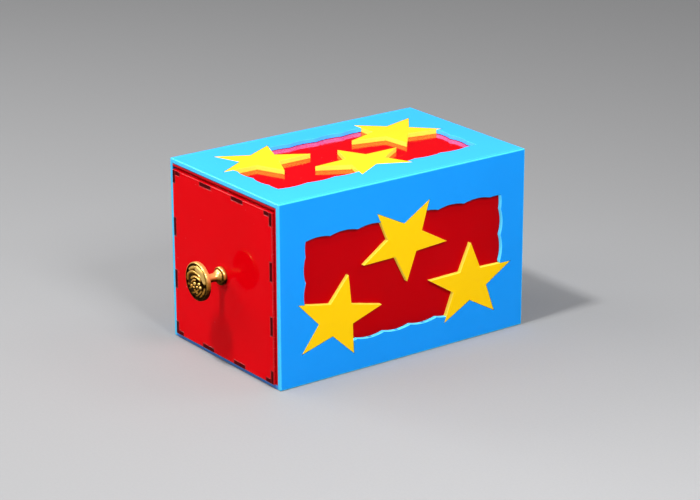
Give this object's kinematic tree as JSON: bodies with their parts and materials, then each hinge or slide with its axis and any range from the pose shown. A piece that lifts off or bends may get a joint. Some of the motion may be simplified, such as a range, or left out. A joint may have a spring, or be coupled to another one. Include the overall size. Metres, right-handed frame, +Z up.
{
  "type": "magic drawer box",
  "caption": "Tabletop drawer box of blue, red and yellow acrylic sheet, with a brass knob and a secret inner tray that a rear catch holds back.",
  "frame": {"origin": "middle of the casing's bottom face, on which the box stands", "axes": "+Z up, -Y out of the front towards the knob, +X to the right of someone who faces the knob"},
  "size_m": [0.125, 0.2335, 0.125],
  "materials": {
    "blue_acrylic": "gloss",
    "red_acrylic": "gloss",
    "tray_acrylic": "gloss",
    "yellow_acrylic": "gloss",
    "antique_brass": "antique, polished on the high spots",
    "plated_steel": "zinc plated"
  },
  "bodies": {
    "casing": {"casing_top": "blue_acrylic", "casing_right": "blue_acrylic", "casing_left": "blue_acrylic", "casing_bottom": "blue_acrylic", "casing_back": "blue_acrylic", "lining_top": "red_acrylic", "lining_right": "red_acrylic", "lining_left": "red_acrylic", "star_top_front": "yellow_acrylic", "star_top_middle": "yellow_acrylic", "star_top_rear": "yellow_acrylic", "star_right_front": "yellow_acrylic", "star_right_middle": "yellow_acrylic", "star_right_rear": "yellow_acrylic", "star_left_front": "yellow_acrylic", "star_left_middle": "yellow_acrylic", "star_left_rear": "yellow_acrylic", "catch_bush": "antique_brass"},
    "drawer": {"drawer_front": "red_acrylic", "drawer_right_side": "red_acrylic", "drawer_left_side": "red_acrylic", "drawer_bottom": "red_acrylic", "drawer_top_rail": "red_acrylic", "knob": "antique_brass", "knob_screw": "plated_steel", "knob_washer": "plated_steel"},
    "tray": {"tray_front": "tray_acrylic", "tray_back": "tray_acrylic", "tray_left_side": "tray_acrylic", "tray_right_side": "tray_acrylic", "tray_bottom": "tray_acrylic"},
    "catch": {"catch_shaft": "plated_steel", "catch_bar": "plated_steel", "catch_collar": "plated_steel", "catch_knob": "antique_brass"}
  },
  "joints": [
    {"name": "drawer_slide", "type": "slide", "parent": "casing", "child": "drawer", "axis": [0, -1, 0], "range_m": [0, 0.15]},
    {"name": "tray_slide", "type": "slide", "parent": "casing", "child": "tray", "axis": [0, -1, 0], "range_m": [0, 0.15]},
    {"name": "catch_turn", "type": "hinge", "parent": "casing", "child": "catch", "pos_m": [0, 0.1, 0.092], "axis": [0, 1, 0], "range_deg": [0, 90]}
  ],
  "couplings": [
    {"joint": "tray_slide", "follows": "drawer_slide", "ratio": 1}
  ]
}
